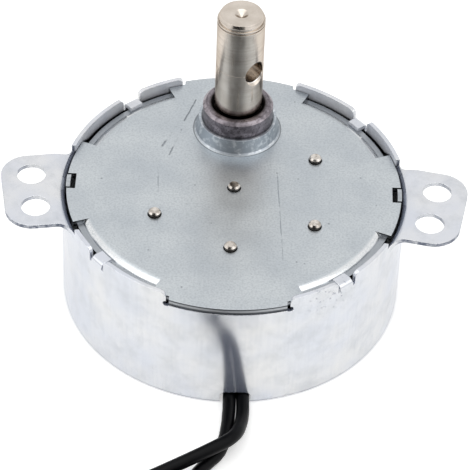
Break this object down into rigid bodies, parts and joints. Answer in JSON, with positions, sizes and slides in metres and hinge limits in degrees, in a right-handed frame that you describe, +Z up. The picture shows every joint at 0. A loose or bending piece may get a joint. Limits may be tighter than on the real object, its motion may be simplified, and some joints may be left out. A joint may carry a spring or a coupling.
{
  "type": "synchronous gear motor",
  "caption": "Round synchronous gear motor in a crimped steel can, with an offset cross-drilled shaft, mounting ears and two leads, for slow turntables and demonstration drives.",
  "frame": {"origin": "centre of the can's bottom face", "axes": "+Z up along the output shaft, +X towards one ear, the shaft on the +Y side and the leads on the -Y side"},
  "size_m": [0.0689, 0.0988, 0.0404],
  "materials": {
    "can_steel": "bright zinc-plated drawn steel",
    "cover_zinc": "zinc-plated sheet with a fine grain",
    "pole_steel": "soft steel sheet",
    "nickel_steel": "turned and plated steel",
    "sintered_iron": "oil-soaked sintered metal",
    "ferrite": "sintered magnet",
    "moulded_hub": "moulded",
    "acetal": "moulded acetal",
    "gear_brass": "cut brass",
    "bobbin_nylon": "moulded nylon",
    "film_polyester": "insulating film",
    "tape_polyester": "yellow winding tape",
    "winding_copper": "enamelled wire",
    "post_brass": "tinned pins",
    "washer_nylon": "moulded nylon",
    "lead_pvc": "black insulation",
    "tinned_copper": "tinned strands",
    "tie_nylon": "nylon strap"
  },
  "bodies": {
    "case": {"can": "can_steel", "insulation_film": "film_polyester", "bobbin": "bobbin_nylon", "winding": "winding_copper", "coil_tape": "tape_polyester", "terminal_posts": "post_brass", "upper_pole_plate": "pole_steel", "rotor_pin": "nickel_steel", "rotor_washers": "washer_nylon", "gear_plate": "pole_steel", "gear_axles": "nickel_steel", "pivot_spacer": "washer_nylon", "bush": "sintered_iron", "cover": "cover_zinc", "lead_a_run": "lead_pvc", "lead_b_run": "lead_pvc", "lead_a_coil": "lead_pvc", "lead_b_coil": "lead_pvc", "lead_a_tip": "tinned_copper", "lead_b_tip": "tinned_copper", "lead_a_tie": "tie_nylon", "lead_b_tie": "tie_nylon"},
    "rotor": {"rotor_magnet": "ferrite", "rotor_hub": "moulded_hub"},
    "wheel_a": {"gear_a": "acetal"},
    "wheel_b": {"gear_b": "acetal"},
    "wheel_c": {"gear_c": "acetal"},
    "wheel_d": {"gear_d": "acetal"},
    "output": {"output_gear": "gear_brass", "output_shaft": "nickel_steel", "shaft_washer": "washer_nylon"}
  },
  "joints": [
    {"name": "rotor_spin", "type": "hinge", "parent": "case", "child": "rotor", "pos_m": [0, 0, 0.012], "axis": [0, 0, 1], "continuous": true},
    {"name": "wheel_a_spin", "type": "hinge", "parent": "case", "child": "wheel_a", "pos_m": [-0.01119, -0.0063, 0.012], "axis": [0, 0, 1], "continuous": true},
    {"name": "wheel_b_spin", "type": "hinge", "parent": "case", "child": "wheel_b", "pos_m": [-0.00009, -0.01263, 0.012], "axis": [0, 0, 1], "continuous": true},
    {"name": "wheel_c_spin", "type": "hinge", "parent": "case", "child": "wheel_c", "pos_m": [0.01179, -0.00742, 0.012], "axis": [0, 0, 1], "continuous": true},
    {"name": "wheel_d_spin", "type": "hinge", "parent": "case", "child": "wheel_d", "pos_m": [0.01173, 0.00683, 0.012], "axis": [0, 0, 1], "continuous": true},
    {"name": "output_spin", "type": "hinge", "parent": "case", "child": "output", "pos_m": [0, 0.0133, 0.012], "axis": [0, 0, 1], "continuous": true}
  ],
  "couplings": [
    {"joint": "wheel_a_spin", "follows": "rotor_spin", "ratio": -0.4},
    {"joint": "wheel_b_spin", "follows": "rotor_spin", "ratio": 0.16},
    {"joint": "wheel_c_spin", "follows": "rotor_spin", "ratio": -0.06},
    {"joint": "wheel_d_spin", "follows": "rotor_spin", "ratio": 0.03},
    {"joint": "output_spin", "follows": "rotor_spin", "ratio": -0.01}
  ]
}
